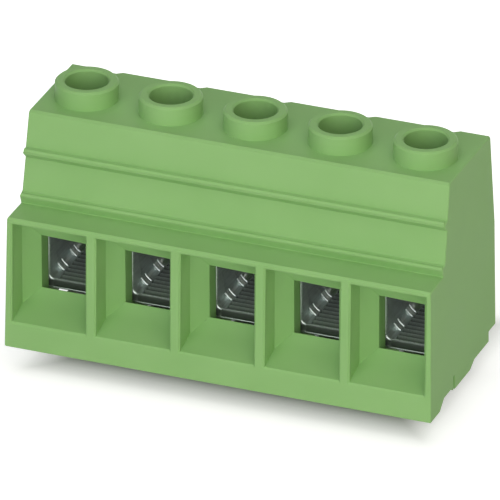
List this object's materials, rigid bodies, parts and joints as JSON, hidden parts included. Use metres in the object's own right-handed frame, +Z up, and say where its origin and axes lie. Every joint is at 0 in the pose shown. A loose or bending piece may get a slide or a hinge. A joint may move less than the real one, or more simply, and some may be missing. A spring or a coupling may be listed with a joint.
{
  "type": "pcb screw terminal",
  "caption": "Green moulded terminal block for a circuit board: wires enter front funnels and are held by rising cage clamps, driven from above by captive screws.",
  "frame": {"origin": "middle of the solder pin pattern, on the surface of the circuit board", "axes": "+X along the row of poles, +Y away from the wires, +Z up from the board along the screws"},
  "size_m": [0.0512, 0.0208, 0.0322],
  "materials": {
    "housing": "satin moulded polyamide",
    "clamp_cage": "bright zinc plating",
    "clamp_screw": "bright zinc plating",
    "contact_bar": "matt tin plating on copper alloy"
  },
  "bodies": {
    "housing": {"housing": "housing", "contact_bar_1": "contact_bar", "contact_bar_2": "contact_bar", "contact_bar_3": "contact_bar", "contact_bar_4": "contact_bar", "contact_bar_5": "contact_bar"},
    "screw_1": {"clamp_screw_1": "clamp_screw"},
    "cage_1": {"clamp_cage_1": "clamp_cage"},
    "screw_2": {"clamp_screw_2": "clamp_screw"},
    "cage_2": {"clamp_cage_2": "clamp_cage"},
    "screw_3": {"clamp_screw_3": "clamp_screw"},
    "cage_3": {"clamp_cage_3": "clamp_cage"},
    "screw_4": {"clamp_screw_4": "clamp_screw"},
    "cage_4": {"clamp_cage_4": "clamp_cage"},
    "screw_5": {"clamp_screw_5": "clamp_screw"},
    "cage_5": {"clamp_cage_5": "clamp_cage"}
  },
  "joints": [
    {"name": "screw_turn_1", "type": "hinge", "parent": "housing", "child": "screw_1", "pos_m": [-0.02032, -0.00067, 0.0122], "axis": [0, 0, 1], "range_deg": [-2520, 0]},
    {"name": "cage_lift_1", "type": "slide", "parent": "housing", "child": "cage_1", "axis": [0, 0, 1], "range_m": [0, 0.0049]},
    {"name": "screw_turn_2", "type": "hinge", "parent": "housing", "child": "screw_2", "pos_m": [-0.01016, -0.00067, 0.0122], "axis": [0, 0, 1], "range_deg": [-2520, 0]},
    {"name": "cage_lift_2", "type": "slide", "parent": "housing", "child": "cage_2", "axis": [0, 0, 1], "range_m": [0, 0.0049]},
    {"name": "screw_turn_3", "type": "hinge", "parent": "housing", "child": "screw_3", "pos_m": [0, -0.00067, 0.0122], "axis": [0, 0, 1], "range_deg": [-2520, 0]},
    {"name": "cage_lift_3", "type": "slide", "parent": "housing", "child": "cage_3", "axis": [0, 0, 1], "range_m": [0, 0.0049]},
    {"name": "screw_turn_4", "type": "hinge", "parent": "housing", "child": "screw_4", "pos_m": [0.01016, -0.00067, 0.0122], "axis": [0, 0, 1], "range_deg": [-2520, 0]},
    {"name": "cage_lift_4", "type": "slide", "parent": "housing", "child": "cage_4", "axis": [0, 0, 1], "range_m": [0, 0.0049]},
    {"name": "screw_turn_5", "type": "hinge", "parent": "housing", "child": "screw_5", "pos_m": [0.02032, -0.00067, 0.0122], "axis": [0, 0, 1], "range_deg": [-2520, 0]},
    {"name": "cage_lift_5", "type": "slide", "parent": "housing", "child": "cage_5", "axis": [0, 0, 1], "range_m": [0, 0.0049]}
  ],
  "couplings": [
    {"joint": "screw_turn_1", "follows": "cage_lift_1", "rad_per_m": -8976},
    {"joint": "screw_turn_2", "follows": "cage_lift_2", "rad_per_m": -8976},
    {"joint": "screw_turn_3", "follows": "cage_lift_3", "rad_per_m": -8976},
    {"joint": "screw_turn_4", "follows": "cage_lift_4", "rad_per_m": -8976},
    {"joint": "screw_turn_5", "follows": "cage_lift_5", "rad_per_m": -8976}
  ]
}
